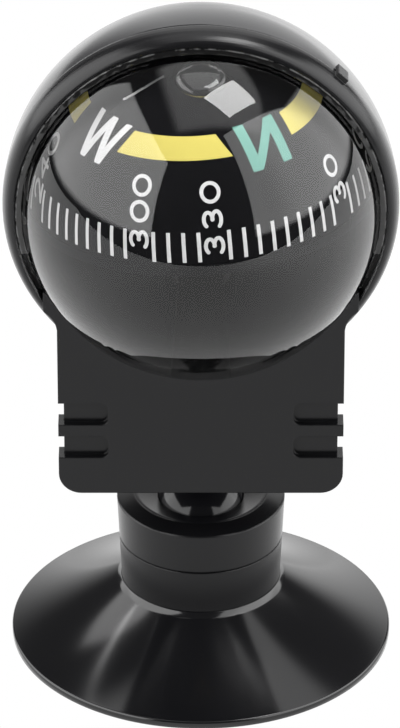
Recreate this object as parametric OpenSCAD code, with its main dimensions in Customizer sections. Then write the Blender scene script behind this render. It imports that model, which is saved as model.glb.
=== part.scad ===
// Dashboard ball compass on a suction cup, in millimetres.
// The origin is the centre of the suction cup's lip. +Z is up and -Y is the front.

/* [Suction cup] */
// Radius of the cup's lip
cup_r = 22.5; // [18:0.5:28]
// Thickness of the cup's lip at its edge
lip_t = 0.9; // [0.6:0.1:1.4]
// Height at which the cone of the cup meets the collar
cup_h = 7.6; // [7:0.1:11]
// Height of the hollow under the cup
hollow_h = 3.6; // [2.5:0.1:3.9]

/* [Collar] */
// Outer radius of the collar at its top
collar_r = 9.9; // [9.6:0.1:11]
// How much narrower the collar is at its foot
collar_taper = 0.5; // [0.2:0.1:0.6]
// Height of the lower half of the collar
base_h = 5.7; // [5.2:0.1:7]
// How much lower the collar's upper half is than the joint ball's radius
ring_less = 0.2; // [0:0.05:0.4]
// How far the crown of the upper half rises above its edge
crown_h = 0.6; // [0.3:0.1:1]

/* [Ball joint] */
// Radius of the ball on the stud
stud_ball_r = 5.4; // [5.2:0.05:5.6]
// Thickness of the friction liner round the ball
liner_t = 0.8; // [0.5:0.05:0.9]
// Radius of the stud's neck
neck_r = 2.9; // [2:0.1:3.2]
// From the middle of the joint ball to the lower edge of the bracket
neck_len = 9.6; // [9:0.1:14]
// Angle that the head can lean each way
lean_deg = 20; // [5:1:20]

/* [Bracket] */
// Width of the bracket
plate_w = 32.75; // [31:0.05:40]
// Width of the bracket across its shoulders
shoulder_w = 35.8; // [34:0.1:44]
// Thickness of the bracket's front plate
plate_t = 2.5; // [1.5:0.1:3]
// How far the bracket's side walls stand in from the plate's edge
wall_in = 0.7; // [0.5:0.1:1]
// Thickness of the bracket's side walls
wall_t = 1.6; // [1.2:0.1:2.2]
// From the bracket's lower edge to the middle of the compass ball
ball_rise = 36.3; // [34:0.1:44]
// How far the compass ball's middle stands in front of the cup's axis
head_forward = 8; // [6:0.5:11]
// How far the plate's front face stands in front of the ball's middle
plate_forward = 4; // [3:0.1:6]
// From the cup's axis back to the bracket's rear face
bracket_back = 7.6; // [6.6:0.1:9]
// Radius of the bracket's lower corners
corner_r = 2.6; // [1:0.1:4]
// Height of one grip groove
groove_h = 2.85; // [1.5:0.05:3]
// Length of one grip groove, in from the side
groove_len = 5.75; // [3:0.05:8]
// Depth of the grip grooves
groove_d = 0.8; // [0.4:0.1:1]
// Step from one grip groove to the next
groove_step = 4.35; // [3.5:0.05:6]

/* [Hood] */
// Width of the hood's front ring
ring_w = 1.5; // [1:0.1:1.7]
// Thickness of the hood's wall
hood_t = 1.3; // [0.8:0.1:1.6]

/* [Compass ball] */
// Outer radius of the clear ball
ball_r = 20.5; // [17:0.1:20.6]
// Wall of the clear ball
ball_t = 1.2; // [0.8:0.1:1.6]
// Radius of the filling hole
filler_r = 1.5; // [1:0.1:2]

/* [Card] */
// How much smaller the domed dial is than the inside of the ball
dial_room = 4.35; // [3.8:0.05:7]
// Wall of the domed dial
dial_t = 0.8; // [0.5:0.1:1.2]
// Height of the pivot point above the middle of the ball
pivot_rise = 5; // [4:0.1:6]
// Height of the dial's rounded top's middle above the middle of the ball
dial_rise = 1.2; // [0:0.1:2]
// From the middle of the ball down to the float's flat underside
float_drop = 1.3; // [1:0.1:3]
// Height of the rim below the dial's scale
rim_h = 1.05; // [0.8:0.05:2]
// How far that rim stands out past the dial
rim_out = 0.35; // [0.1:0.05:0.6]
// How far the card lists to the left at rest
card_list = 3.9; // [0:0.1:5]
// How far the card's front is up at rest
card_nose_up = 3.3; // [0:0.1:5]
// Angle that the card can tilt each way
card_deg = 12; // [5:1:12]

/* [Fits] */
// Clearance between pieces that turn on each other
run_gap = 0.08; // [0.05:0.01:0.1]
// Clearance between fixed pieces that are pushed together
push_gap = 0.02; // [0.01:0.01:0.05]
// Clearance round the clear ball in the hood's ring
ball_gap = 0.4; // [0.3:0.05:0.6]
// Clearance round the clear ball in the plate's opening
seat_gap = 0.15; // [0.1:0.05:0.3]

/* [Hidden] */
$fn = 96;
eps = 0.01;
big = 80;

// Heights of the collar's faces
ring_h = stud_ball_r - ring_less;
seam_z = cup_h + base_h;
edge_z = seam_z + ring_h;
crown_z = edge_z + crown_h;
seam_gap = 0.12;

// Radii of the collar's foot and of its two faces at the seam
collar_foot_r = collar_r - collar_taper;
seam_r = collar_r - collar_taper * ring_h / (ring_h + base_h);

// The ball joint: the lip's mouth lets the ball stand out but not leave
mouth_r = stud_ball_r - 0.4;
crown_inner_r = collar_r - 2.05;
lip_drop = 0.8;
lip_z = crown_z - lip_drop;
lip_t_z = 0.7;
joint_z = lip_z - sqrt(pow(stud_ball_r + run_gap / 2, 2) - pow(mouth_r, 2));
liner_in_r = stud_ball_r + run_gap / 2;
liner_out_r = liner_in_r + liner_t;
cavity_r = liner_out_r + run_gap / 2;

// Heights of the head
bracket_z = joint_z + neck_len;
ball_z = bracket_z + ball_rise;
front_y = -head_forward - plate_forward;
rear_y = bracket_back;
cover_t = 2;
cover_y = rear_y - cover_t;
half_w = plate_w / 2;
half_shoulder = shoulder_w / 2;
hole_r = ball_r + ball_gap;
seat_r = ball_r + seat_gap;

// The hood
ring_r = hole_r + ring_w;
hood_out_r = ring_r - 0.1;
hood_in_r = hood_out_r - hood_t;
ring_front = plate_forward - 0.1;
ring_back = 0.9;
corner_h = ball_rise - 12.25;
saddle_z = bracket_z + corner_h - 2.5;
horn_x = half_shoulder - 0.2;
plate_top_z = ball_z - sqrt(max(4, pow(seat_r, 2) - pow(plate_forward, 2) - pow(horn_x, 2)));
saddle_t = 1.6;

// Stud fastening
floor_t = 2;
flange_r = 4.4;
flange_t = 1;
shank_r = 2;
washer_t = 0.6;
nut_t = 2.4;

// Cover screws
screw_x = half_w - 5.6;
screw_z = bracket_z + 5.4;
boss_r = 2.3;
pilot_r = 0.95;
screw_head_r = 1.9;
screw_head_t = 1.1;
screw_len = 9;

// The card
dial_r = ball_r - ball_t - dial_room;
pivot_z = ball_z + pivot_rise;
cup_ball_r = 1.1;
setting_r = 2.2;
setting_low = 1.4;
setting_high = 1.6;
hub_r = 3.5;
card_hole_r = 4.6;
underside = -pivot_rise - float_drop;
dial_mid = -pivot_rise + dial_rise;
post_r = 1.2;
post_top = -2.6;
magnet_w = 2.2;
magnet_l = 2 * (dial_r - 8.45);
magnet_t = 2;
magnet_x = 7.6;
deck_t = 0.9;

// Moves a piece to the middle of the compass ball
module at_ball() {
    translate([0, -head_forward, ball_z]) children();
}

// A ball round the compass ball's middle, with its poles at the front and the back
module round_ball(r) {
    at_ball() rotate([90, 0, 0]) sphere(r = r);
}

// Moves a piece to the pivot point and gives it the card's attitude at rest
module at_pivot() {
    translate([0, -head_forward, pivot_z])
        rotate([-card_nose_up, 0, 0])
            rotate([0, -card_list, 0])
                children();
}

// A ring with a plain bore, standing on z = 0
module tube(r_out, r_in, h) {
    difference() {
        cylinder(r = r_out, h = h);
        translate([0, 0, -eps]) cylinder(r = r_in, h = h + 2 * eps);
    }
}

// Everything above a height, as a block to cut with
module above(z) {
    translate([-big, -big, z]) cube([2 * big, 2 * big, 2 * big]);
}

// Everything below a height, as a block to cut with
module below(z) {
    translate([-big, -big, z - 2 * big]) cube([2 * big, 2 * big, 2 * big]);
}

// Height of the cup's upper surface at a radius: a shallow trumpet
function cup_top(r) =
    let (k = (cup_r - r) / (cup_r - collar_foot_r))
    lip_t + (cup_h - lip_t) * (0.72 * k + 0.28 * k * k);

// Height of the cup's underside at a radius
function cup_under(r) =
    let (k = r / rim_r)
    hollow_h * (1 - pow(k, 2.2));

rim_r = cup_r - 1.2;
stem_r = collar_r - 1.8;
groove_r = collar_r - 2.7;
collar_lip_t = 1;
stem_head_t = 0.9;

// Soft moulded cup with a grooved boss that snaps into the collar
module suction_cup() {
    steps = 14;
    top = [for (i = [0:steps]) let (r = cup_r - (cup_r - collar_foot_r) * i / steps) [r, cup_top(r)]];
    under = [for (i = [0:steps]) let (r = rim_r * i / steps) [r, cup_under(r)]];
    boss = [
        [groove_r, cup_h],
        [groove_r, cup_h + collar_lip_t],
        [stem_r, cup_h + collar_lip_t],
        [stem_r, cup_h + collar_lip_t + stem_head_t],
        [0, cup_h + collar_lip_t + stem_head_t]
    ];
    color("#16171a")
        rotate_extrude($fn = 128)
            polygon(concat([[cup_r, 0.15]], top, boss, under, [[cup_r - 0.15, 0]]));
}

collar_floor_z = cup_h + collar_lip_t + stem_head_t + push_gap;
collar_floor_t = 0.7;
spigot_r = collar_r - 2.1;
bead = 0.35;
bead_z = collar_floor_z + collar_floor_t + 0.7;
bead_h = 0.8;

// Lower half of the collar: it grips the cup's boss and carries the turning upper half
module base_collar() {
    color("#33343a")
        difference() {
            translate([0, 0, cup_h]) cylinder(r1 = collar_foot_r, r2 = seam_r, h = base_h);
            cylinder(r = groove_r + push_gap, h = cup_h + 2 * collar_lip_t);
            translate([0, 0, cup_h + collar_lip_t])
                cylinder(r = stem_r + push_gap, h = collar_floor_z - cup_h - collar_lip_t);
            translate([0, 0, collar_floor_z + collar_floor_t])
                cylinder(r = spigot_r + run_gap, h = big);
            translate([0, 0, bead_z - run_gap])
                cylinder(r = spigot_r + bead + run_gap, h = bead_h + 2 * run_gap);
        }
}

flange_z = seam_z + seam_gap;
cup_top_z = joint_z + 0.1;
clamp_r = collar_r - 1.6;

// Cup that holds the lower part of the joint ball and turns in the lower collar
module socket_cup() {
    start_z = collar_floor_z + collar_floor_t + run_gap;
    color("#2b2c30")
        difference() {
            union() {
                translate([0, 0, start_z]) cylinder(r = spigot_r, h = cup_top_z - start_z);
                translate([0, 0, bead_z]) cylinder(r = spigot_r + bead, h = bead_h);
                translate([0, 0, flange_z]) cylinder(r = clamp_r, h = cup_top_z - flange_z);
            }
            translate([0, 0, joint_z]) sphere(r = cavity_r);
            translate([0, 0, joint_z]) cylinder(r = cavity_r, h = big);
        }
}

// Dished ring that keeps the joint ball in its cup
module retainer_ring() {
    base_z = cup_top_z + push_gap;
    color("#3c3d42")
        difference() {
            union() {
                translate([0, 0, base_z]) cylinder(r = clamp_r, h = 0.7);
                translate([0, 0, base_z])
                    cylinder(r = crown_inner_r - push_gap, h = crown_z - base_z);
            }
            intersection() {
                translate([0, 0, joint_z]) sphere(r = cavity_r);
                below(lip_z - lip_t_z);
            }
            translate([0, 0, joint_z]) sphere(r = stud_ball_r + run_gap);
            translate([0, 0, joint_z]) cylinder(r = mouth_r, h = big);
            translate([0, 0, lip_z])
                cylinder(r1 = mouth_r, r2 = crown_inner_r - 0.3, h = lip_drop + eps);
        }
}

// Upper half of the collar, a smooth ring with a low crown that clamps the retainer
module lock_ring() {
    hold_z = cup_top_z + push_gap + 0.7;
    edge_t = 0.15;
    color("#303136")
        difference() {
            union() {
                translate([0, 0, flange_z])
                    cylinder(r1 = seam_r, r2 = collar_r, h = edge_z - edge_t - flange_z);
                translate([0, 0, edge_z - edge_t])
                    cylinder(r1 = collar_r, r2 = collar_r - edge_t, h = edge_t);
                translate([0, 0, edge_z])
                    cylinder(r1 = collar_r - edge_t, r2 = crown_inner_r, h = crown_h);
            }
            translate([0, 0, flange_z - eps])
                cylinder(r = clamp_r + push_gap, h = hold_z + push_gap - flange_z + eps);
            cylinder(r = crown_inner_r, h = big);
        }
}

// Zone-shaped liner that rubs on the joint ball
module friction_liner() {
    low_z = joint_z - liner_out_r * cos(liner_low_deg);
    high_z = joint_z - liner_out_r * cos(liner_high_deg);
    color("#d8d8d2")
        difference() {
            translate([0, 0, joint_z]) sphere(r = liner_out_r);
            translate([0, 0, joint_z]) sphere(r = liner_in_r);
            below(low_z);
            above(high_z);
        }
}

// The liner stops short of the cup's open bottom and of the retainer's lip at full lean
liner_low_deg = 30 + lean_deg;
liner_high_deg = 101 - lean_deg;

// Ball, neck, flange and threaded shank in one piece
module ball_stud() {
    color("#1a1b1e") {
        translate([0, 0, joint_z]) sphere(r = stud_ball_r);
        translate([0, 0, joint_z]) cylinder(r = neck_r, h = neck_len - flange_t);
        translate([0, 0, bracket_z - flange_t - 1.2])
            cylinder(r1 = neck_r, r2 = flange_r, h = 1.2);
        translate([0, 0, bracket_z - flange_t]) cylinder(r = flange_r, h = flange_t);
        translate([0, 0, bracket_z])
            cylinder(r = shank_r, h = floor_t + washer_t + nut_t + 0.6);
    }
}

// Plain washer inside the bracket
module stud_washer() {
    color("#b4b6b8")
        translate([0, 0, bracket_z + floor_t])
            tube(shank_r + 2, shank_r + push_gap, washer_t);
}

// Hexagon nut that holds the stud
module stud_nut() {
    color("#b4b6b8")
        translate([0, 0, bracket_z + floor_t + washer_t])
            difference() {
                cylinder(r = 3.9, h = nut_t, $fn = 6);
                translate([0, 0, -eps]) cylinder(r = shank_r + push_gap, h = nut_t + 2 * eps);
            }
}

// Outline of the bracket seen from the front, with x across and y upwards from its lower edge.
// The inset narrows it at its sides, and low is the height at which it starts.
module bracket_outline(inset, low) {
    side = half_w - inset;
    shoulder = half_shoulder - inset;
    r = corner_r;
    corner = corner_h;
    bend_r = 3;
    bend_h = 1.75;
    bend_in = bend_r - sqrt(pow(bend_r, 2) - pow(bend_h, 2));
    union() {
        translate([-side, low + r]) square([2 * side, ball_rise - low - r]);
        translate([-side + r, low]) square([2 * (side - r), r + eps]);
        for (s = [-1, 1]) translate([s * (side - r), low + r]) circle(r = r);
        for (s = [-1, 1]) scale([s, 1])
            difference() {
                polygon([
                    [side - 1, corner - 0.7 - bend_h], [side, corner - 0.7 - bend_h],
                    [side + bend_in + 0.05, corner - 1], [shoulder, corner],
                    [shoulder, ball_rise], [side - 1, ball_rise]
                ]);
                translate([side + bend_r, corner - 1 - bend_h]) circle(r = bend_r);
            }
    }
}

// Extrudes a front outline backwards, from one depth to another
module from_front(y_front, y_back) {
    translate([0, y_back, bracket_z])
        rotate([90, 0, 0])
            linear_extrude(height = y_back - y_front)
                children();
}

// Grip grooves, open at the plate's side, where they go through the plate's full thickness
module grip_grooves() {
    low = 4.72;
    end_r = 0.8;
    for (s = [-1, 1], i = [0, 1])
        scale([s, 1, 1])
            translate([half_w - groove_len, front_y, bracket_z + low + i * groove_step]) {
                translate([0, -1, 0]) groove_block(groove_len + 2, 1 + groove_d, groove_h, end_r);
                translate([groove_len - wall_in + 0.05, -1, 0]) cube([3, plate_t + 1 + eps, groove_h]);
            }
}

// A groove's block with a rounded inner end
module groove_block(l, d, h, r) {
    translate([r, 0, 0]) cube([l - r, d, h]);
    translate([0, 0, r]) cube([r + eps, d, h - 2 * r]);
    for (z = [r, h - r])
        translate([r, 0, z]) rotate([-90, 0, 0]) cylinder(r = r, h = d);
}

// A round bar along Y, given by its middle, radius and ends
module bar_y(x, z, r, y0, y1) {
    translate([x, y0, z]) rotate([-90, 0, 0]) cylinder(r = r, h = y1 - y0);
}

// Front ring of the hood: a rounded lip that narrows towards the front
module front_ring() {
    bore_r = ring_r - ring_w;
    edge_r = bore_r + 0.2;
    start = ring_back + 0.3;
    lip = [for (a = [0:10:90]) [edge_r + (ring_r - edge_r) * cos(a), start + (ring_front - start) * sin(a)]];
    at_ball()
        rotate([90, 0, 0])
            rotate_extrude($fn = 128)
                polygon(concat([[bore_r, ring_back], [ring_r, ring_back]], lip, [[bore_r, ring_front - 0.2]]));
}

// Small hooked tab on the ring's upper right, over the edge of the hood's round back
module snap_tab() {
    tab_deg = 46;
    tab_w = 1.5;
    at_ball()
        rotate([0, -tab_deg, 0])
            translate([0, -ring_back, -tab_w / 2]) {
                translate([ring_r - 0.7, -1, 0]) cube([1.2, 1, tab_w]);
                translate([hood_out_r + 0.06, -eps, 0]) cube([ring_r + 0.5 - hood_out_r - 0.06, 1.2, tab_w]);
            }
}

// Front plate, side walls and front ring, moulded in one piece
module front_frame() {
    plate_back = front_y + plate_t;
    color("#2a2b2e")
        difference() {
            union() {
                difference() {
                    union() {
                        difference() {
                            from_front(front_y, plate_back) bracket_outline(0, 0);
                            above(plate_top_z);
                        }
                        difference() {
                            from_front(plate_back - 0.5, cover_y) bracket_outline(wall_in, 0);
                            above(saddle_z);
                        }
                    }
                    from_front(plate_back, cover_y + 1) bracket_outline(wall_in + wall_t, floor_t);
                    round_ball(seat_r);
                    at_ball() rotate([-90, 0, 0])
                        translate([0, 0, plate_t - plate_forward]) cylinder(r = hole_r, h = big);
                    hood_room();
                    grip_grooves();
                }
                front_ring();
                snap_tab();
                for (s = [-1, 1])
                    bar_y(s * screw_x, screw_z, boss_r, plate_back - eps, cover_y);
            }
            for (s = [-1, 1])
                bar_y(s * screw_x, screw_z, pilot_r, cover_y - screw_len, cover_y + 1);
            cylinder(r = shank_r + push_gap, h = bracket_z + floor_t + 1);
        }
}

// Space that the hood's round back takes up behind the front ring
module hood_room() {
    intersection() {
        round_ball(hood_out_r + push_gap);
        translate([-big, -head_forward - ring_back, 0]) cube([2 * big, 2 * big, 2 * big]);
    }
}

// Round back of the hood with the bracket's rear cover, moulded in one piece
module rear_shell() {
    start_y = -head_forward - ring_back + push_gap;
    color("#232428")
        difference() {
            union() {
                round_ball(hood_out_r);
                difference() {
                    from_front(cover_y + push_gap, rear_y) bracket_outline(wall_in + 0.1, 0.15);
                    above(saddle_z);
                }
                difference() {
                    from_front(start_y + 1, cover_y + 0.5) bracket_outline(wall_in + wall_t + push_gap, floor_t);
                    above(saddle_z);
                    below(saddle_z - saddle_t);
                }
            }
            round_ball(hood_in_r);
            translate([-big, start_y - 2 * big, 0]) cube([2 * big, 2 * big, 2 * big]);
            for (s = [-1, 1]) {
                bar_y(s * screw_x, screw_z, pilot_r + 0.3, cover_y - 1, rear_y + 1);
                bar_y(s * screw_x, screw_z, screw_head_r + 0.15, rear_y - screw_head_t, rear_y + 1);
            }
        }
}

// Two self-tapping screws through the rear cover
module cover_screws() {
    color("#c2c3c5")
        for (s = [-1, 1])
            difference() {
                union() {
                    bar_y(s * screw_x, screw_z, pilot_r - push_gap, cover_y - screw_len + 1, rear_y - 0.5);
                    bar_y(s * screw_x, screw_z, screw_head_r, rear_y - screw_head_t, rear_y - 0.1);
                }
                translate([s * screw_x, rear_y, screw_z]) {
                    cube([2.2, 1.2, 0.45], center = true);
                    cube([0.45, 1.2, 2.2], center = true);
                }
            }
}

// Clear bead of glue that bonds the ball into the hood
module glue_bead() {
    start = -ring_back + 0.1;
    color("#c8ccd0")
        intersection() {
            difference() {
                round_ball(hood_in_r - push_gap);
                round_ball(ball_r + push_gap);
            }
            translate([-big, start - head_forward, 0]) cube([2 * big, 2.4, 2 * big]);
        }
}

lap_t = 0.5;
lap_h = 0.9;
inner_r = ball_r - ball_t;

// Clear upper half of the ball
module upper_dome() {
    color("#e8eef2")
        at_ball()
            difference() {
                sphere(r = ball_r);
                sphere(r = inner_r);
                below(0);
                translate([0, 0, -eps]) cylinder(r = inner_r + lap_t, h = lap_h + eps);
            }
}

// Direction in which the filling hole points: low at the back
filler_deg = 125;

// Clear lower half of the ball with its tongue, pivot boss and filling hole
module lower_bowl() {
    boss_h = 2.6;
    color("#e8eef2")
        at_ball()
            difference() {
                union() {
                    difference() {
                        sphere(r = ball_r);
                        sphere(r = inner_r);
                        above(-push_gap);
                    }
                    translate([0, 0, -eps - push_gap])
                        tube(inner_r + lap_t - push_gap, inner_r - 0.35, lap_h);
                    translate([0, 0, -inner_r - 0.2]) cylinder(r = 3.4, h = boss_h);
                }
                translate([0, 0, -inner_r + 0.3]) cylinder(r = foot_r + push_gap, h = boss_h);
                rotate([-filler_deg, 0, 0]) cylinder(r = filler_r, h = big);
            }
}

// Soft plug in the filling hole
module filler_plug() {
    color("#1b1b1b")
        at_ball()
            rotate([-filler_deg, 0, 0])
                intersection() {
                    cylinder(r = filler_r - push_gap, h = big);
                    difference() {
                        sphere(r = ball_r);
                        sphere(r = inner_r - 0.3);
                    }
                }
}

foot_r = 2.2;

// Tapered post that stands in the bowl's boss
module pivot_post() {
    foot_z = -pivot_rise - inner_r + 0.3 + push_gap;
    color("#1b1c1f")
        translate([0, -head_forward, pivot_z])
            difference() {
                union() {
                    translate([0, 0, foot_z]) cylinder(r = foot_r, h = 2.4);
                    translate([0, 0, foot_z + 2.4 - eps])
                        cylinder(r1 = foot_r, r2 = post_r, h = post_top - foot_z - 2.4 + eps);
                }
                translate([0, 0, post_top - needle_seat])
                    cylinder(r = needle_r + push_gap, h = needle_seat + 1);
            }
}

needle_r = 0.35;
needle_seat = 2.5;

// Steel needle with a ground point
module pivot_needle() {
    tip_h = 1;
    color("#c9cbce")
        translate([0, -head_forward, pivot_z]) {
            translate([0, 0, post_top - needle_seat + push_gap])
                cylinder(r = needle_r, h = -post_top + needle_seat - tip_h - push_gap);
            translate([0, 0, -tip_h - eps]) cylinder(r1 = needle_r, r2 = 0.05, h = tip_h - run_gap);
        }
}

// Small hard cup that sits on the needle's point
module jewel_cup() {
    pocket_h = 1.2;
    color("#8a2f3c")
        at_pivot()
            difference() {
                sphere(r = cup_ball_r);
                below(-0.85);
                translate([0, 0, -pocket_h]) cylinder(r1 = pocket_h * 0.84, r2 = 0, h = pocket_h);
            }
}

// Metal setting round the jewel
module jewel_setting() {
    color("#b9924a")
        at_pivot()
            difference() {
                translate([0, 0, -setting_low]) cylinder(r = setting_r, h = setting_low + setting_high);
                sphere(r = cup_ball_r + run_gap);
                translate([0, 0, -setting_low - eps])
                    cylinder(r1 = 1.5, r2 = cup_ball_r + run_gap, h = setting_low + eps);
            }
}

// Printed dome of the card, with a plain skirt and a rim under its scale
module dial_dome() {
    color("#101114")
        at_pivot()
            difference() {
                union() {
                    translate([0, 0, dial_mid]) difference() {
                        sphere(r = dial_r);
                        below(0);
                    }
                    translate([0, 0, underside]) cylinder(r = dial_r, h = dial_mid - underside);
                    translate([0, 0, underside]) cylinder(r = dial_r + rim_out, h = rim_h);
                }
                translate([0, 0, dial_mid]) difference() {
                    sphere(r = dial_r - dial_t);
                    below(0);
                }
                translate([0, 0, underside - eps])
                    cylinder(r = dial_r - dial_t, h = dial_mid - underside + 2 * eps);
            }
}

// Heading that faces the front, so the magnets lie along the card's north line
front_heading = 326;

// Float: a deck inside the dome, a cone up to the hub, and posts that trap the magnets
module float_body() {
    deck_r = dial_r - dial_t - push_gap;
    cone_low = underside + deck_t;
    cone_high = -setting_low - run_gap;
    cap_t = 0.8;
    color("#1c1d20")
        at_pivot()
            difference() {
                union() {
                    translate([0, 0, underside]) cylinder(r = deck_r, h = deck_t);
                    translate([0, 0, underside])
                        cylinder(r1 = card_hole_r + 1.2, r2 = hub_r, h = cone_high - underside);
                    magnet_posts();
                    translate([0, 0, cone_high - eps])
                        cylinder(r = hub_r, h = setting_high + cap_t + 2 * run_gap - cone_high + eps);
                }
                translate([0, 0, underside - eps])
                    cylinder(r1 = card_hole_r, r2 = setting_r + run_gap, h = cone_high - underside + 2 * eps);
                translate([0, 0, cone_high - eps])
                    cylinder(r = setting_r + run_gap, h = setting_high + run_gap - cone_high + eps);
            }
}

// Posts at the ends of the magnets
module magnet_posts() {
    post_t = 1;
    rotate([0, 0, -front_heading])
        for (s = [-1, 1], e = [-1, 1])
            translate([s * magnet_x, e * (magnet_l + post_t + push_gap) / 2, underside + magnet_t / 2 + 0.5])
                cube([magnet_w, post_t, magnet_t + 1], center = true);
}

// Two bar magnets on the float's deck
module bar_magnets() {
    color("#5a5c60")
        at_pivot()
            rotate([0, 0, -front_heading])
                for (s = [-1, 1])
                    translate([s * magnet_x - magnet_w / 2, -magnet_l / 2, underside + deck_t])
                        cube([magnet_w, magnet_l, magnet_t]);
}

suction_cup();
base_collar();
socket_cup();
retainer_ring();
lock_ring();
friction_liner();
ball_stud();
stud_washer();
stud_nut();
front_frame();
rear_shell();
cover_screws();
glue_bead();
upper_dome();
lower_bowl();
filler_plug();
pivot_post();
pivot_needle();
jewel_cup();
jewel_setting();
dial_dome();
float_body();
bar_magnets();
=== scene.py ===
import math
import random

import bmesh
import bpy
from mathutils import Matrix, Vector


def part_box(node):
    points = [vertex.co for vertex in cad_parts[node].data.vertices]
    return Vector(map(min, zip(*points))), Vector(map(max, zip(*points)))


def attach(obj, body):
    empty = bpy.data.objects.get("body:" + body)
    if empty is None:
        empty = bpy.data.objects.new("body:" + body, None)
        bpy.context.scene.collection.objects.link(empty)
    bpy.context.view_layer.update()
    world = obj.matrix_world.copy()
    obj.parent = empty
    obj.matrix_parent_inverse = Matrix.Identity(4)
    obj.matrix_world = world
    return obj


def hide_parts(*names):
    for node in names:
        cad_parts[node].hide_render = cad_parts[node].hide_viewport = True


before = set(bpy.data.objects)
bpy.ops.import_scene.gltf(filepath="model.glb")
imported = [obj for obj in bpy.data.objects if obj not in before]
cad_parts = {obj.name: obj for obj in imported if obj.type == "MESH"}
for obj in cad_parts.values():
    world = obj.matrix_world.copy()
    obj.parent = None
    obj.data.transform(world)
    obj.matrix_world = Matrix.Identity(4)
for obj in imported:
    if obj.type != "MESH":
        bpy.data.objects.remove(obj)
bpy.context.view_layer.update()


# Suction cup: a soft black vinyl trumpet, moulded in one piece and glossy on top.
# Its grooved boss snaps into the collar, and its thin lip stands on the dashboard.
MM = 0.001


def node(tree, kind, inputs=(), **settings):
    """Adds a node; inputs are (socket, value or another node's socket) pairs."""
    made = tree.nodes.new(kind)
    for key, value in settings.items():
        setattr(made, key, value)
    for key, value in inputs:
        socket = made.inputs[key]
        if isinstance(value, bpy.types.NodeSocket):
            tree.links.new(value, socket)
        else:
            socket.default_value = value
    return made


def sums(tree, op, a, b=0.0, c=0.0):
    """One Math node's value."""
    return node(tree, "ShaderNodeMath", [(0, a), (1, b), (2, c)], operation=op).outputs[0]


def group(name, sockets, outputs, build):
    """Makes a shader node group; build(tree, inputs) returns its output values."""
    tree = bpy.data.node_groups.new(name, "ShaderNodeTree")
    for title, kind, value in sockets:
        tree.interface.new_socket(title, in_out="INPUT", socket_type=kind).default_value = value
    for title, kind in outputs:
        tree.interface.new_socket(title, in_out="OUTPUT", socket_type=kind)
    source = tree.nodes.new("NodeGroupInput")
    target = tree.nodes.new("NodeGroupOutput")
    for socket, value in zip(target.inputs, build(tree, source.outputs)):
        tree.links.new(value, socket)
    return tree


def fill(tree, shared, inputs):
    """Puts a shared node group into a tree, with its own values."""
    made = node(tree, "ShaderNodeGroup", (), node_tree=shared)
    for key, value in inputs:
        if isinstance(value, bpy.types.NodeSocket):
            tree.links.new(value, made.inputs[key])
        else:
            made.inputs[key].default_value = value
    return made


FLOW_SCALE, GRAIN_DEPTH = 90.0, 0.02 * MM


def noise(tree, place, scale, detail):
    """A noise texture's value from 0 to 1."""
    inputs = [("Vector", place), ("Scale", scale), ("Detail", detail)]
    return node(tree, "ShaderNodeTexNoise", inputs).outputs["Fac"]


def moulded_surface(tree, given):
    """The colour, roughness and normal of a moulded surface, with flow marks and fine grain."""
    place = node(tree, "ShaderNodeTexCoord").outputs["Object"]
    flow = noise(tree, place, FLOW_SCALE, 3.0)
    grain = noise(tree, place, given["Grain size"], 2.0)
    rough = sums(tree, "MULTIPLY_ADD", sums(tree, "SUBTRACT", flow, 0.5), given["Spread"], given["Roughness"])
    round_edge = node(tree, "ShaderNodeBevel", [("Radius", given["Edge"])], samples=6).outputs["Normal"]
    bump = node(tree, "ShaderNodeBump", [("Strength", given["Grain"]), ("Distance", GRAIN_DEPTH),
                                         ("Height", grain), ("Normal", round_edge)])
    tint = node(tree, "ShaderNodeMix", [("Factor", flow), ("A", given["Colour"]),
                                        ("B", given["Second colour"])], data_type="RGBA")
    return tint.outputs["Result"], rough, bump.outputs["Normal"]


COLOUR_SOCKET, FLOAT_SOCKET = "NodeSocketColor", "NodeSocketFloat"
MOULDED = group("moulded surface", [
    ("Colour", COLOUR_SOCKET, (0.03, 0.03, 0.03, 1)), ("Second colour", COLOUR_SOCKET, (0.03, 0.03, 0.03, 1)),
    ("Roughness", FLOAT_SOCKET, 0.3), ("Spread", FLOAT_SOCKET, 0.05), ("Grain", FLOAT_SOCKET, 0.1),
    ("Grain size", FLOAT_SOCKET, 6000.0), ("Edge", FLOAT_SOCKET, 0.0),
], [("Colour", COLOUR_SOCKET), ("Roughness", FLOAT_SOCKET), ("Normal", "NodeSocketVector")], moulded_surface)


def finish(name, colour, rough, grain=0.05, size=6000.0, spread=0.05, edge=0.0, metallic=0.0,
           ior=1.5, lift=1.25):
    """A moulded, turned or printed surface with its own colour, roughness, grain and rounded edges."""
    material = bpy.data.materials.new(name)
    material.use_nodes = True
    tree = material.node_tree
    shader = tree.nodes["Principled BSDF"]
    lighter = tuple(min(1, c * lift) for c in colour)
    made = fill(tree, MOULDED, [
        ("Colour", (*colour, 1)), ("Second colour", (*lighter, 1)), ("Roughness", rough), ("Spread", spread),
        ("Grain", grain), ("Grain size", size), ("Edge", edge)])
    for output, title in (("Colour", "Base Color"), ("Roughness", "Roughness"), ("Normal", "Normal")):
        tree.links.new(made.outputs[output], shader.inputs[title])
    shader.inputs["Metallic"].default_value = metallic
    shader.inputs["IOR"].default_value = ior
    return material


def dress(material, *names):
    """Gives a material to pieces that come from the construction model."""
    for name in names:
        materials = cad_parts[name].data.materials
        materials.clear()
        materials.append(material)


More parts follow.
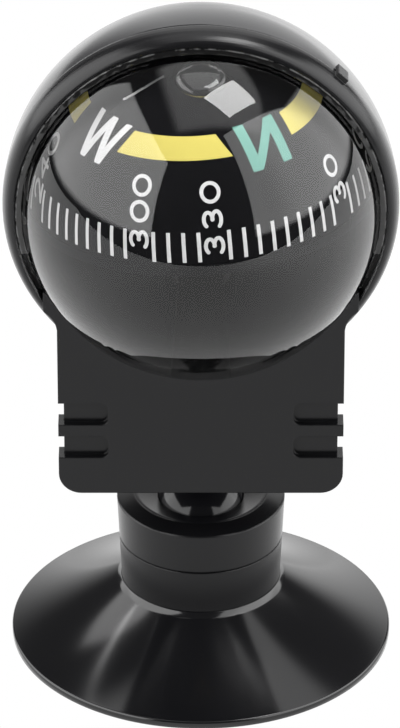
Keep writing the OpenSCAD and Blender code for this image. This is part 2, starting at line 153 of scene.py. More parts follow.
def new_piece(name, points, faces, material, body, closed=False):
    """Makes a smooth mesh from points in millimetres and lets it ride on a body.

    A closed one gets its faces turned outwards.
    """
    mesh = bpy.data.meshes.new(name)
    mesh.from_pydata([Vector(p) * MM for p in points], [], faces)
    mesh.materials.append(material)
    bm = bmesh.new()
    bm.from_mesh(mesh)
    bmesh.ops.remove_doubles(bm, verts=bm.verts, dist=1e-7)
    if closed:
        bmesh.ops.recalc_face_normals(bm, faces=bm.faces)
    bm.to_mesh(mesh)
    bm.free()
    mesh.shade_smooth()
    piece = bpy.data.objects.new(name, mesh)
    bpy.context.scene.collection.objects.link(piece)
    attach(piece, body)
    return piece


def lathe(name, line, material, body, place=Matrix.Identity(4), turns=256):
    """Turns a line of (r, z) points round Z and puts the result in its place."""
    angles = [2 * math.pi * k / turns for k in range(turns)]
    points = [place @ Vector((r * math.cos(a), r * math.sin(a), z)) for r, z in line for a in angles]
    faces = []
    for i in range(len(line) - 1):
        low, high = i * turns, (i + 1) * turns
        for k in range(turns):
            n = (k + 1) % turns
            faces.append((low + k, low + n, high + n, high + k))
    return new_piece(name, points, faces, material, body, closed=True)


CUP_R, CUP_FOOT_R, CUP_H, LIP_T = 22.5, 9.4, 7.6, 0.9
CUP_RIM_R, CUP_HOLLOW = 21.3, 3.6
BOSS_R, BOSS_NECK_R, BOSS_TALL, BOSS_NECK_TALL = 8.1, 7.2, 1.9, 1.0
STRAIGHT, CURVED, CUP_ROWS = 0.72, 0.28, 60
HOLLOW_CURVE, HOLLOW_ROWS = 2.2, 40
VINYL = finish("cup vinyl", (0.003, 0.003, 0.0035), 0.13, grain=0.0, spread=0.04)
line = [(0, CUP_H + BOSS_TALL), (BOSS_R, CUP_H + BOSS_TALL), (BOSS_R, CUP_H + BOSS_NECK_TALL),
        (BOSS_NECK_R, CUP_H + BOSS_NECK_TALL), (BOSS_NECK_R, CUP_H), (CUP_FOOT_R, CUP_H)]
line += [(CUP_FOOT_R + out, CUP_H + up) for out, up in ((0.02, 0.3), (0.08, 0.14), (0.2, 0.02))]
for i in range(2, CUP_ROWS + 1):
    k = 1 - i / CUP_ROWS
    line.append((CUP_R - (CUP_R - CUP_FOOT_R) * k,
                 LIP_T + (CUP_H - LIP_T) * (STRAIGHT * k + CURVED * k * k)))
line[-1] = (CUP_R - 0.12, LIP_T + 0.05)
line += [(CUP_R, LIP_T - 0.12), (CUP_R, 0.15), (CUP_R - 0.15, 0.0)]
line += [(CUP_RIM_R * i / HOLLOW_ROWS, CUP_HOLLOW * (1 - (i / HOLLOW_ROWS) ** HOLLOW_CURVE))
         for i in range(HOLLOW_ROWS, -1, -1)]
cup = lathe("soft_cup", line, VINYL, "base", turns=360)
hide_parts("suction_cup")
dress(VINYL, "suction_cup")

# Collar: two satin black rings, pushed together, that turn on each other at the seam.
# The smooth dished ring inside the upper one keeps the joint's ball in.
COLLAR = finish("collar black", (0.0035, 0.0035, 0.004), 0.24, grain=0.02, edge=0.00025, ior=1.35)
DISH = finish("dish black", (0.006, 0.006, 0.007), 0.24, edge=0.0002, ior=1.3)
dress(COLLAR, "base_collar", "socket_cup", "lock_ring")
dress(DISH, "retainer_ring")

# Ball joint: a polished black ball stud in a low-friction liner.
# A zinc-plated washer and nut hold its shank in the bracket's floor.
STUD = finish("stud black", (0.005, 0.005, 0.006), 0.12, ior=1.36)
LINER = finish("liner white", (0.7, 0.7, 0.67), 0.4)
STEEL = finish("zinc steel", (0.62, 0.63, 0.64), 0.32, metallic=1.0, grain=0.2)
dress(STUD, "ball_stud")
dress(LINER, "friction_liner")
dress(STEEL, "stud_washer", "stud_nut")


# Bracket and hood: the front plate, side walls and ring are one smooth black moulding, and the
# round back is a second one, with a fine gap to the ring that shows as a dark seam. Two
# self-tapping screws hold them together from behind.
def step(tree, value, low, high):
    """A smooth step from 0 at low to 1 at high."""
    made = node(tree, "ShaderNodeMapRange", [("Value", value), ("From Min", low), ("From Max", high)],
                interpolation_type="SMOOTHSTEP")
    return made.outputs["Result"]


PLATE = finish("plate black", (0.0035, 0.0035, 0.004), 0.24, grain=0.0, edge=0.0002, ior=1.35)
HOUSING = finish("housing black", (0.006, 0.006, 0.007), 0.17, grain=0.0, edge=0.0001)
SEAM_Y, SEAM_W, SEAM_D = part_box("rear_shell")[0].y, 0.45 * MM, 0.4 * MM
tree = HOUSING.node_tree
place = node(tree, "ShaderNodeTexCoord").outputs["Object"]
height = step(tree, node(tree, "ShaderNodeSeparateXYZ", [(0, place)]).outputs["Y"], SEAM_Y, SEAM_Y + SEAM_W)
surface = tree.nodes["Principled BSDF"].inputs["Normal"]
groove = node(tree, "ShaderNodeBump", [("Strength", 1.0), ("Distance", SEAM_D), ("Height", height),
                                       ("Normal", surface.links[0].from_socket)])
tree.links.new(groove.outputs["Normal"], surface)
dress(PLATE, "front_frame")
dress(HOUSING, "rear_shell")
dress(STEEL, "cover_screws")


# Clear ball: two polished acrylic halves, filled with a clear liquid and cemented at the equator.
# The look is one closed solid, because the liquid hides the halves' inner faces.
def clear(name, colour, ior, rough=0.0):
    """Clear material that lets light through to what is inside it."""
    material = bpy.data.materials.new(name)
    material.use_nodes = True
    tree = material.node_tree
    shader = tree.nodes["Principled BSDF"]
    shader.inputs["Base Color"].default_value = (*colour, 1)
    shader.inputs["Roughness"].default_value = rough
    shader.inputs["IOR"].default_value = ior
    shader.inputs["Transmission Weight"].default_value = 1.0
    shadow = node(tree, "ShaderNodeLightPath").outputs["Is Shadow Ray"]
    through = node(tree, "ShaderNodeBsdfTransparent")
    mix = node(tree, "ShaderNodeMixShader", [("Fac", shadow), (1, shader.outputs[0]),
                                             (2, through.outputs[0])])
    tree.links.new(mix.outputs[0], tree.nodes["Material Output"].inputs["Surface"])
    return material


BALL_IOR, BALL_ROWS, BALL_TURNS = 1.47, 160, 320
GLASS = clear("clear ball", (1, 1, 1), BALL_IOR)
GLUE = clear("clear glue", (0.9, 0.92, 0.93), 1.48, rough=0.15)
PLUG = finish("plug rubber", (0.01, 0.01, 0.01), 0.6)
dome_low, dome_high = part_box("upper_dome")
BALL_R = (dome_high.x - dome_low.x) / 2 / MM
BALL = (dome_low + dome_high) / 2 / MM
BALL.z = dome_high.z / MM - BALL_R
angles = [math.pi * k / BALL_ROWS for k in range(BALL_ROWS + 1)]
line = [(BALL_R * math.sin(a), -BALL_R * math.cos(a)) for a in angles]
clear_ball = lathe("clear_ball", line, GLASS, "head", Matrix.Translation(BALL), BALL_TURNS)
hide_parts("upper_dome", "lower_bowl")
dress(GLASS, "upper_dome", "lower_bowl")
dress(GLUE, "glue_bead")
dress(PLUG, "filler_plug")

# Cement: the clear glue that holds the ball in the hood shows as a thin crinkled edge in the mouth.
# It runs round the upper part of the ball, where the hood's ring is closest to it, and its outer
# margin is painted pale in flecks, a painted highlight for the light that its crinkled edge catches.
# The pale grey is painted highlight, not a colour that the cement has.
CEMENT_DARK, CEMENT_PAINTED_HIGHLIGHT = (0.006, 0.006, 0.006), (0.2, 0.2, 0.2)
CEMENT = finish("set cement", CEMENT_DARK, 0.12, grain=0.9, size=1400.0, spread=0.1)
CEMENT_FRONT, CEMENT_END, CEMENT_STEPS = -3.8, 104, 520
WAVES, WAVES_SHARE = 14, 6
# Each corner's distance out from the ball's edge and how far the two waves move it out, and then
# the same three towards the back
CORNERS = ((0.0, 0.0, 0.0, 0.55, 0.0, 0.0), (0.02, 0.03, 0.0, -0.02, 0.0, 0.0),
           (0.16, 0.07, 0.0, -0.1, 0.0, 0.05), (0.4, 0.0, 0.1, 0.1, 0.07, 0.0),
           (0.62, 0.06, 0.0, 0.02, 0.0, 0.06), (0.86, 0.0, 0.0, 0.3, 0.0, 0.0),
           (0.86, 0.0, 0.0, 0.7, 0.0, 0.0))
edge_r = math.sqrt(BALL_R ** 2 - CEMENT_FRONT ** 2)
chance = random.Random(4)
waves = [(chance.uniform(8, 70), chance.uniform(0, 6.3), chance.uniform(0.2, 1)) for _ in range(WAVES)]
points, faces = [], []
for i in range(CEMENT_STEPS + 1):
    a = math.radians(CEMENT_END * (2 * i / CEMENT_STEPS - 1))
    wave = sum(size * math.sin(count * a + start) for count, start, size in waves) / WAVES_SHARE
    other = sum(size * math.cos(count * 1.3 * a + start * 2) for count, start, size in waves) / WAVES_SHARE
    for out, out_wave, out_other, back, back_wave, back_other in CORNERS:
        r = edge_r + out + out_wave * wave + out_other * other
        y = CEMENT_FRONT + back + back_wave * wave + back_other * other
        points.append(BALL + Vector((r * math.sin(a), y, r * math.cos(a))))
corners = len(CORNERS)
for i in range(CEMENT_STEPS):
    for j in range(corners):
        k, n = corners * i + j, corners * i + (j + 1) % corners
        faces.append((k, n, n + corners, k + corners))
faces += [tuple(range(start, start + corners)) for start in (0, corners * CEMENT_STEPS)]
cement = new_piece("cement_edge", points, faces, CEMENT, "head", closed=True)
tree = CEMENT.node_tree
spot = node(tree, "ShaderNodeTexCoord").outputs["Object"]
apart = node(tree, "ShaderNodeVectorMath", [(0, spot), (1, BALL * MM)], operation="SUBTRACT").outputs[0]
flat = node(tree, "ShaderNodeVectorMath", [(0, apart), (1, (1, 0, 1))], operation="MULTIPLY").outputs[0]
away = node(tree, "ShaderNodeVectorMath", [(0, flat)], operation="LENGTH").outputs["Value"]
# Painted highlight: the outer margin is coloured pale in noisy flecks, in place of the light its crinkled
# edge catches.
highlight_flecks = step(tree, noise(tree, spot, 900.0, 2.0), 0.42, 0.6)
highlight_margin = step(tree, away, (edge_r + 0.55) * MM, (edge_r + 0.75) * MM)
tint = node(tree, "ShaderNodeMix", [
    ("Factor", sums(tree, "MULTIPLY", highlight_margin, highlight_flecks)), ("A", (*CEMENT_DARK, 1)), ("B", (*CEMENT_PAINTED_HIGHLIGHT, 1))],
    data_type="RGBA").outputs["Result"]
for title in ("Colour", "Second colour"):
    tree.links.new(tint, tree.nodes["Group"].inputs[title])

# Air bubble: the small space that the liquid leaves, flattened under the top of the ball.
# It floats a little in front of the middle and shows by its rim alone.
BUBBLE_R, BUBBLE_T, BUBBLE_RISE, BUBBLE_LEAN = 2.98, 0.9, 17.9, 16.3
BUBBLE_FLAT, BUBBLE_ROWS = 0.7, 60
AIR = clear("air bubble", (1, 1, 1), 1 / BALL_IOR)
place = (Matrix.Translation(BALL) @ Matrix.Rotation(math.radians(BUBBLE_LEAN), 4, "X")
         @ Matrix.Translation((0, 0, BUBBLE_RISE)))
line = []
for k in range(BUBBLE_ROWS + 1):
    c, s = math.cos(math.pi * k / BUBBLE_ROWS), math.sin(math.pi * k / BUBBLE_ROWS)
    line.append((BUBBLE_R * s ** BUBBLE_FLAT, -BUBBLE_T * math.copysign(abs(c) ** BUBBLE_FLAT, c)))
bubble = lathe("air_bubble", line, AIR, "head", place, turns=96)

# Pivot: a black post cemented in the bottom of the ball, with a steel needle.
# The card's jewel and its brass setting stand on the needle's point.
POST = finish("post black", (0.003, 0.003, 0.003), 0.5, grain=0.0, ior=1.03)
BRASS = finish("turned brass", (0.72, 0.52, 0.22), 0.28, metallic=1.0, grain=0.2)
JEWEL = finish("red jewel", (0.35, 0.02, 0.04), 0.08)
dress(POST, "pivot_post")
dress(STEEL, "pivot_needle")
dress(JEWEL, "jewel_cup")
dress(BRASS, "jewel_setting")

# Card: a domed black plastic dial on a flat foam float, with two bar magnets under it.
# It hangs on its pivot with a slight list, and its front is a little up.
CARD_ROLL, CARD_NOSE, PIVOT_RISE = -3.9, -3.3, 5.0
DIAL = finish("dial black", (0.003, 0.003, 0.0035), 0.3, grain=0.0, ior=1.05)
FLOAT = finish("float black", (0.003, 0.003, 0.0035), 0.6, grain=0.0, ior=1.03)
MAGNET = finish("magnet grey", (0.12, 0.12, 0.13), 0.5, metallic=0.6, grain=0.3)
CARD = (Matrix.Translation(BALL + Vector((0, 0, PIVOT_RISE)))
        @ Matrix.Rotation(math.radians(CARD_NOSE), 4, "X")
        @ Matrix.Rotation(math.radians(CARD_ROLL), 4, "Y"))
dress(DIAL, "dial_dome")
dress(FLOAT, "float_body")
dress(MAGNET, "bar_magnets")

# Scale: white printed marks, six degrees apart, with a gap where each number stands.
# They reach from just below the dome's edge to two millimetres up its side.
DIAL_R, DIAL_MIDDLE, FRONT = 14.95, -3.8, 325.5
MARK_W, MARK_LOW, MARK_HIGH = 0.4, -1.1, 2.1
WHITE = finish("print white", (0.46, 0.46, 0.46), 0.6, grain=0.0, lift=1.05, ior=1.05)


def on_dial(turn, height, out=0.02):
    """A point on the dial, by its angle from the front and its height along the surface in millimetres."""
    t = max(0, height) / DIAL_R
    r = (DIAL_R + out) * math.cos(t)
    z = DIAL_MIDDLE + (DIAL_R + out) * math.sin(t) + min(0, height)
    return Vector((r * math.sin(turn), -r * math.cos(turn), z))


def ring_of_copies():
    """A geometry node tree that sets copies round the card's axis.

    Each copy that "Gap every" counts to is left out, unless "Kept every" counts to it as well.
    """
    tree = bpy.data.node_groups.new("copies round the card", "GeometryNodeTree")
    titles = (("Geometry", "Geometry"), ("Count", "Int"), ("Turn", "Float"), ("First", "Float"),
              ("Gap every", "Float"), ("Kept every", "Float"), ("Finish", "Material"))
    for title, kind in titles:
        tree.interface.new_socket(title, in_out="INPUT", socket_type="NodeSocket" + kind)
    tree.interface.new_socket("Geometry", in_out="OUTPUT", socket_type="NodeSocketGeometry")
    given = tree.nodes.new("NodeGroupInput").outputs
    index = node(tree, "GeometryNodeInputIndex").outputs[0]
    gap = sums(tree, "GREATER_THAN", sums(tree, "MODULO", index, given["Gap every"]), 0.5)
    kept = sums(tree, "LESS_THAN", sums(tree, "MODULO", index, given["Kept every"]), 0.5)
    angle = sums(tree, "MULTIPLY_ADD", index, given["Turn"], given["First"])
    turn = node(tree, "ShaderNodeCombineXYZ", [("Z", angle)]).outputs[0]
    spots = node(tree, "GeometryNodePoints", [("Count", given["Count"])]).outputs[0]
    copies = node(tree, "GeometryNodeInstanceOnPoints", [
        ("Points", spots), ("Selection", sums(tree, "MAXIMUM", gap, kept)), ("Instance", given["Geometry"]),
        ("Rotation", turn)]).outputs[0]
    real = node(tree, "GeometryNodeRealizeInstances", [(0, copies)]).outputs[0]
    done = node(tree, "GeometryNodeSetMaterial", [("Geometry", real), ("Material", given["Finish"])])
    tree.links.new(done.outputs[0], tree.nodes.new("NodeGroupOutput").inputs[0])
    return tree


COPIES = ring_of_copies()


def printed_ring(name, points, faces, values, material):
    """Copies one printed mark round the card, and leaves it as a plain mesh in the card's place."""
    mesh = bpy.data.meshes.new(name + "_one")
    mesh.from_pydata([p * MM for p in points], [], faces)
    carrier = bpy.data.objects.new(name + "_one", mesh)
    bpy.context.scene.collection.objects.link(carrier)
    modifier = carrier.modifiers.new("copies", "NODES")
    modifier.node_group = COPIES
    sockets = {s.name: s.identifier for s in COPIES.interface.items_tree if s.in_out == "INPUT"}
    for title, value in {**values, "Finish": material}.items():
        modifier[sockets[title]] = value
    ready = bpy.context.evaluated_depsgraph_get()
    made = bpy.data.meshes.new_from_object(carrier.evaluated_get(ready))
    carrier.modifiers.remove(modifier)
    bpy.data.objects.remove(carrier)
    middle = CARD.copy()
    middle.translation = CARD.translation * MM
    made.transform(middle)
    made.shade_smooth()
    piece = bpy.data.objects.new(name, made)
    bpy.context.scene.collection.objects.link(piece)
    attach(piece, "card")
    return piece


half = MARK_W / 2 / DIAL_R
heights = [MARK_LOW, MARK_LOW / 2] + [MARK_HIGH * k / 5 for k in range(6)]
points = [on_dial(side * half, h) for h in heights for side in (-1, 1)]
faces = [(2 * i, 2 * i + 1, 2 * i + 3, 2 * i + 2) for i in range(len(heights) - 1)]
MARKS, NUMBER_EVERY, LETTER_EVERY = 60, 5.0, 15.0
values = {"Count": MARKS, "Turn": math.radians(360 / MARKS), "First": math.radians(-FRONT),
          "Gap every": NUMBER_EVERY, "Kept every": LETTER_EVERY}
printed_ring("print_marks", points, faces, values, WHITE)

# Bars: four yellow printed bars that fill the spaces between the letters higher up on the dome.
# The print isn't even, so each bar has its own ends, in degrees from the front.
BAR_LOW, BAR_HIGH = 9.5, 12.1
# Each bar's lower start and end, and its upper start and end
BAR_ENDS = [(-42.4, 17.6, -36.8, 11.0), (52, 108.5, 54, 103), (-140, -79, -135, -80), (140, 199, 145, 194)]
YELLOW = finish("print yellow", (0.43, 0.37, 0.092), 0.6, grain=0.0, lift=1.05, ior=1.05)
across, along = 24, 6
points, faces = [], []
for low_start, low_end, high_start, high_end in BAR_ENDS:
    base = len(points)
    for j in range(along + 1):
        k = j / along
        start, end = low_start + (high_start - low_start) * k, low_end + (high_end - low_end) * k
        height = BAR_LOW + (BAR_HIGH - BAR_LOW) * k
        turns = [math.radians(start + (end - start) * i / across) for i in range(across + 1)]
        points += [CARD @ on_dial(turn, height) for turn in turns]
    for j in range(along):
        for i in range(across):
            k = base + j * (across + 1) + i
            faces.append((k, k + 1, k + across + 2, k + across + 1))
bars = new_piece("print_bars", points, faces, YELLOW, "card")

# Numbers: white printed degrees at every thirty that has no letter, read upwards from the scale.
# Each digit is a pen line of even width with round ends.
PEN, DIGIT_TALL, DIGIT_WIDE = 0.39, 2.11, 2.09
# The heights of the digits' middles, where the photo shows them, and those of all other numbers
DIGIT_HEIGHTS = {"300": (1.22, 4.1, 6.75), "330": (0.6, 3.39, 6.15), "30": (1.73, 4.66),
                 "240": (1.46, 3.82, 6.27)}
OTHER_HEIGHTS = (1.1, 3.8, 6.4)


def arc(cx, cy, rx, ry, start, end, steps=20):
    """Points along an ellipse's arc, in degrees."""
    angles = [math.radians(start + (end - start) * k / steps) for k in range(steps + 1)]
    return [(cx + rx * math.cos(a), cy + ry * math.sin(a)) for a in angles]


DIGITS = {
    "0": [arc(0, 0, 0.46, 0.42, 0, 360, 36)],
    "1": [[(-0.18, 0.26), (-0.05, 0.33), (0.06, 0.42)], [(0.06, 0.42), (0.06, 0), (0.06, -0.42)]],
    "2": [arc(0, 0.16, 0.38, 0.26, 165, -30, 16) + [(0.1, -0.16), (-0.38, -0.42)],
          [(-0.38, -0.42), (0, -0.42), (0.4, -0.42)]],
    "3": [arc(-0.02, 0.205, 0.36, 0.215, 150, -90, 18), arc(-0.02, -0.205, 0.40, 0.215, 90, -150, 18)],
    "4": [[(0.16, 0.42), (0.16, 0), (0.16, -0.42)], [(0.16, 0.42), (-0.14, 0.13), (-0.42, -0.16)],
          [(-0.42, -0.16), (0, -0.16), (0.42, -0.16)]],
    "5": [[(0.34, 0.42), (0.02, 0.42), (-0.3, 0.42)], [(-0.3, 0.42), (-0.33, 0.22), (-0.36, 0.04)],
          arc(-0.02, -0.14, 0.38, 0.28, 145, -150, 18)],
    "6": [arc(0, -0.15, 0.4, 0.27, 0, 360, 30), arc(0.14, -0.12, 0.54, 0.56, 105, 180, 12)],
}


CAP_STEPS = 8


def stroke(points, width):
    """A flat pen stroke with round ends along a line of (across, height) points: points and faces."""
    flat, faces = [], []
    n = len(points)
    for i, (x, y) in enumerate(points):
        along = Vector(points[min(n - 1, i + 1)]) - Vector(points[max(0, i - 1)])
        side = Vector((-along.y, along.x)).normalized() * width / 2
        here = Vector((x, y))
        flat += [here + side, here, here - side]
        if i:
            k = 3 * i
            faces += [(k - 3, k - 2, k + 1, k), (k - 2, k - 1, k + 2, k + 1)]
    for end, other in ((0, 1), (n - 1, n - 2)):
        here = Vector(points[end])
        along = (here - Vector(points[other])).normalized() * width / 2
        side = Vector((-along.y, along.x))
        base = len(flat)
        angles = [math.pi * k / CAP_STEPS for k in range(CAP_STEPS + 1)]
        flat += [here + side * math.cos(a) + along * math.sin(a) for a in angles]
        faces += [(3 * end + 1, base + k + 1, base + k) for k in range(CAP_STEPS)]
    return flat, faces


PRINT_OUT, LEVELS, LEVEL_OUT = 0.022, 4, 0.004


def printed(name, parts, material):
    """One printed piece; parts are (heading, flat points, faces), in levels that keep them apart."""
    points, faces = [], []
    for number, (heading, flat, own) in enumerate(parts):
        base = len(points)
        out = PRINT_OUT + LEVEL_OUT * (number % LEVELS)
        for p in flat:
            t = max(0, p.y) / DIAL_R
            turn = math.radians(heading - FRONT) + p.x / (DIAL_R * math.cos(t))
            points.append(CARD @ on_dial(turn, p.y, out))
        faces += [tuple(base + i for i in face) for face in own]
    piece = new_piece(name, points, faces, material, "card")
    return piece


parts = []
for heading in range(30, 360, 30):
    if heading % 90:
        middles = DIGIT_HEIGHTS.get(str(heading), OTHER_HEIGHTS)
        for middle, digit in zip(middles, str(heading)):
            for line in DIGITS[digit]:
                turned_line = [(-y * DIGIT_TALL, middle + x * DIGIT_WIDE) for x, y in line]
                parts.append((heading, *stroke(turned_line, PEN)))
printed("print_numbers", parts, WHITE)

# Letters: four printed letters high on the dome, north in green and the others in white.
# Their strokes are cut level at top and bottom, as a printing block's are.
GREEN = finish("print green", (0.1, 0.24, 0.2), 0.6, grain=0.0, lift=1.1, ior=1.05)


def between(x0, y0, x1, y1, steps):
    """Points along a straight line."""
    return [(x0 + (x1 - x0) * k / steps, y0 + (y1 - y0) * k / steps) for k in range(steps + 1)]


def bar(x0, y0, x1, y1, wide, steps=10):
    """A straight stroke with level ends, by its two middle points and its width across."""
    if y0 > y1:
        x0, y0, x1, y1 = x1, y1, x0, y0
    middles = between(x0, y0, x1, y1, steps)
    flat = [Vector((x + side * wide / 2, y)) for x, y in middles for side in (-1, 1)]
    return flat, [(2 * k, 2 * k + 1, 2 * k + 3, 2 * k + 2) for k in range(steps)]


def corner(degrees, height, middle):
    """A letter's corner in millimetres from its heading, by its angle from the front and its height."""
    return math.radians(degrees - middle) * DIAL_R * math.cos(height / DIAL_R), height


# Each letter's heading, corners as (angle from the front, height) and stroke width
LETTERS = {
    "W": (270, [(-66.3, 12.7), (-61.6, 7.7), (-53.5, 12.7), (-51.3, 7.7), (-41.5, 12.5)], 0.8),
    "N": (360, [(24.7, 12.5), (27.8, 7.4), (45.0, 12.4), (43.5, 7.4)], 1.15),
}
for letter, (heading, corners, wide) in LETTERS.items():
    flat = [corner(a, s, heading - FRONT) for a, s in corners]
    parts = [(heading, *bar(*flat[i], *flat[i + 1], wide)) for i in range(len(flat) - 1)]
    printed("print_letter_" + letter, parts, GREEN if letter == "N" else WHITE)
LETTER_PEN = 0.85
lines = [(1.7, 12.5, 1.7, 7.5), (1.7, 12.3, -1.5, 12.3), (1.7, 10.0, -1.1, 10.0), (1.7, 7.7, -1.6, 7.7)]
printed("print_letter_E", [(90, *stroke(between(*line, 8), LETTER_PEN)) for line in lines], WHITE)
bows = [arc(0, 11.1, 1.45, 1.15, 30, 270), arc(0, 8.8, 1.55, 1.15, 90, -150)]
printed("print_letter_S", [(180, *stroke(bow, LETTER_PEN)) for bow in bows], WHITE)

# Camera: a long lens that looks down on the compass.
# It stands a touch to the left of the middle, as the photograph's does.
SENSOR, PICTURE_TALL, LENS_PIXELS, LOOK_DOWN = 36, 728, 5700, 29.77
camera = bpy.data.cameras.new("camera")
camera.lens = LENS_PIXELS / PICTURE_TALL * SENSOR
camera.sensor_width = SENSOR
camera.clip_start = 0.01
camera_object = bpy.data.objects.new("camera", camera)
camera_object.location = (-0.0001, -0.5763, 0.3657)
camera_object.rotation_euler = (math.radians(90 - LOOK_DOWN), 0, 0)
bpy.context.scene.collection.objects.link(camera_object)
bpy.context.scene.camera = camera_object


# Studio: two big side windows, a dim ceiling panel, a thin tube and a white backdrop.
# Each is a mask in the world, worked out by where the direction meets its plane.
def window_mask(tree, given):
    """1 inside a soft-edged rectangle on its plane, 0 outside it and behind it."""
    inside = sums(tree, "GREATER_THAN", given["Facing"], 0.0)
    for high, low in (("U", "U low"), ("U high", "U"), ("V", "V low"), ("V high", "V")):
        side = step(tree, sums(tree, "SUBTRACT", given[high], given[low]), 0, given["Edge"])
        inside = sums(tree, "MULTIPLY", inside, side)
    return (inside,)


WINDOW = group("window in a direction", [(title, FLOAT_SOCKET, value) for title, value in (
    ("U", 0), ("V", 0), ("U low", -1), ("U high", 1), ("V low", -1), ("V high", 1), ("Edge", 0.05),
    ("Facing", 1))], [("Mask", FLOAT_SOCKET)], window_mask)

world = bpy.data.worlds.new("studio")
bpy.context.scene.world = world
world.use_nodes = True
sky = world.node_tree
xyz = node(sky, "ShaderNodeSeparateXYZ", [(0, node(sky, "ShaderNodeTexCoord").outputs["Generated"])])
dx, dy, dz = xyz.outputs
left = sums(sky, "MULTIPLY", dx, -1.0)


ROOM_GLOW = 0.1


def panel(u, v, facing, u_range, v_range, edge, strength):
    """The light of one window, as seen in each direction."""
    mask = fill(sky, WINDOW, [
        ("U", u), ("V", v), ("Facing", facing), ("U low", u_range[0]), ("U high", u_range[1]),
        ("V low", v_range[0]), ("V high", v_range[1]), ("Edge", edge)])
    return sums(sky, "MULTIPLY", mask.outputs[0], strength)


def under(u, v, slope, height, soft=0.06):
    """1 below a sloping top edge on a side plane, 0 above it."""
    return step(sky, sums(sky, "MULTIPLY_ADD", u, slope, v), height + soft, height - soft)


def turned(u, v, degrees):
    """Plane coordinates, turned by an angle."""
    c, s = math.cos(math.radians(degrees)), math.sin(math.radians(degrees))
    first = sums(sky, "ADD", sums(sky, "MULTIPLY", u, c), sums(sky, "MULTIPLY", v, s))
    second = sums(sky, "SUBTRACT", sums(sky, "MULTIPLY", v, c), sums(sky, "MULTIPLY", u, s))
    return first, second


# Where each direction meets the left, right, top and back planes, which are all at distance 1
left_u, left_v = sums(sky, "DIVIDE", dy, left), sums(sky, "DIVIDE", dz, left)
right_u, right_v = sums(sky, "DIVIDE", dy, dx), sums(sky, "DIVIDE", dz, dx)
top_u, top_v = sums(sky, "DIVIDE", dx, dz), sums(sky, "DIVIDE", dy, dz)
back_u, back_v = sums(sky, "DIVIDE", dx, dy), sums(sky, "DIVIDE", dz, dy)
# The side windows reach from the table up to a sloping top; the left one is brighter towards the
# front, and the right one in its middle
left_glow = sums(sky, "MULTIPLY_ADD", step(sky, left_u, 0.6, 0.3), 1.3, 2.75)
left_window = panel(left_u, left_v, left, (-1.72, 1.0), (0.0, 9.0), 0.08, left_glow)
left_top = under(left_u, left_v, 0.3, 1.62)
right_glow = sums(sky, "MULTIPLY_ADD", step(sky, right_u, 0.6, 0.3), 1.4, 2.75)
right_glow = sums(sky, "ADD", right_glow, sums(sky, "MULTIPLY", step(sky, right_u, -0.3, -0.9), -1.1))
right_window = panel(right_u, right_v, dx, (-1.53, 1.0), (0.0, 9.0), 0.08, right_glow)
right_top = sums(sky, "MAXIMUM", under(right_u, right_v, 1.55, 1.66), under(right_u, right_v, 0.47, 1.21))
lights = [sums(sky, "MULTIPLY", left_window, left_top), sums(sky, "MULTIPLY", right_window, right_top)]
# The backdrop fades out to the left and right
backdrop = panel(back_u, back_v, dy, (-2.0, 2.0), (-1.0, 1.4), 0.4, 1.35)
back_sides = sums(sky, "MULTIPLY", step(sky, back_u, -0.62, -0.12), step(sky, back_u, 0.68, 0.4))
lights.append(sums(sky, "MULTIPLY", backdrop, back_sides))
# The tube is a thin bent line on the ceiling, bright at its left end
along = sums(sky, "ADD", top_u, 0.55)
bend = sums(sky, "MULTIPLY", along, sums(sky, "MULTIPLY_ADD", along, 0.763, 0.18))
tube_glow = sums(sky, "MULTIPLY_ADD", step(sky, top_u, -0.4, -0.85), 7.5, 2.0)
straight = sums(sky, "SUBTRACT", top_v, bend)
lights.append(panel(along, straight, dz, (-0.31, 0.22), (0.408, 0.466), 0.012, tube_glow))
# The ceiling panel is turned a little and cut off aslant on the right
ceiling_u, ceiling_v = turned(top_u, top_v, 8)
ceiling = panel(ceiling_u, ceiling_v, dz, (-0.36, 0.72), (-0.36, 0.82), 0.14, 1.45)
ceiling_side = step(sky, sums(sky, "MULTIPLY_ADD", top_v, 0.5, top_u), 0.8, 0.66)
lights.append(sums(sky, "MULTIPLY", ceiling, ceiling_side))
total = ROOM_GLOW
for light in lights:
    total = sums(sky, "ADD", total, light)
seen = node(sky, "ShaderNodeLightPath").outputs["Is Camera Ray"]
shade = node(sky, "ShaderNodeMix", [("Factor", seen), ("A", total), ("B", 1.0)]).outputs["Result"]
background = sky.nodes["Background"]
sky.links.new(shade, background.inputs["Color"])
background.inputs["Strength"].default_value = 1.0

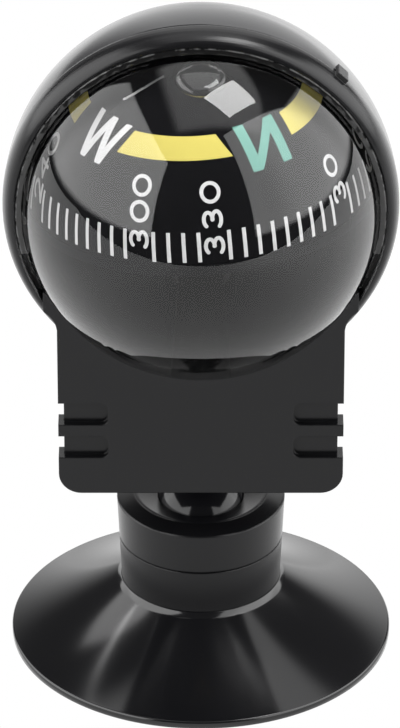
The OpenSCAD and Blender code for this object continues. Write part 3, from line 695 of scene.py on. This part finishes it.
# Lamp: a small softbox, nearly square, 20 cm above the ball, whose top shows its mirror image.
# It is turned a little, and the camera doesn't see it.
LAMP_AWAY, LAMP_U, LAMP_V, LAMP_WIDE, LAMP_DEEP = 0.2, 0.297, 0.14, 0.36, 0.44
LAMP_GLOW, LAMP_TURN = 12.5, -40
lamp = bpy.data.lights.new("softbox", "AREA")
lamp.shape = "RECTANGLE"
lamp.size = LAMP_WIDE * LAMP_AWAY
lamp.size_y = LAMP_DEEP * LAMP_AWAY
lamp.energy = LAMP_GLOW * math.pi * lamp.size * lamp.size_y
lamp_object = bpy.data.objects.new("softbox", lamp)
mirror_spot = (BALL + Vector((1.6, -9.9, 17.9))) * MM
lamp_object.location = mirror_spot + Vector((LAMP_U, LAMP_V, 1)) * LAMP_AWAY
lamp_object.rotation_euler = (0, 0, math.radians(LAMP_TURN))
lamp_object.visible_camera = False
bpy.context.scene.collection.objects.link(lamp_object)

# Table: a white sheet that ends in front of the compass and gets brighter towards its sides.
# It glows by itself, so that it stays white in the picture and keeps the object's light plain.
table_look = bpy.data.materials.new("table")
table_look.use_nodes = True
TABLE_SIDE, TABLE_FRONT, TABLE_Z, TABLE_GLOW = 3, -0.276, -0.00005, 1.14
tree = table_look.node_tree
place = node(tree, "ShaderNodeTexCoord").outputs["Object"]
across_table = node(tree, "ShaderNodeSeparateXYZ", [(0, place)]).outputs["X"]
leftwards = sums(tree, "MULTIPLY", step(tree, across_table, 0.0, -0.11), 0.4)
rightwards = sums(tree, "MULTIPLY", step(tree, across_table, 0.0, 0.2), 0.85)
glow = sums(tree, "ADD", sums(tree, "ADD", leftwards, rightwards), TABLE_GLOW)
seen = node(tree, "ShaderNodeLightPath").outputs["Is Camera Ray"]
shown = node(tree, "ShaderNodeMix", [("Factor", seen), ("A", glow), ("B", 1.0)]).outputs["Result"]
emission = node(tree, "ShaderNodeEmission", [("Strength", shown)])
tree.links.new(emission.outputs[0], tree.nodes["Material Output"].inputs["Surface"])
mesh = bpy.data.meshes.new("table")
corners = ((-TABLE_SIDE, TABLE_FRONT), (TABLE_SIDE, TABLE_FRONT),
           (TABLE_SIDE, TABLE_SIDE), (-TABLE_SIDE, TABLE_SIDE))
mesh.from_pydata([(x, y, TABLE_Z) for x, y in corners], [], [(0, 1, 2, 3)])
mesh.materials.append(table_look)
table = bpy.data.objects.new("table", mesh)
bpy.context.scene.collection.objects.link(table)
bpy.context.scene.view_settings.view_transform = "Standard"
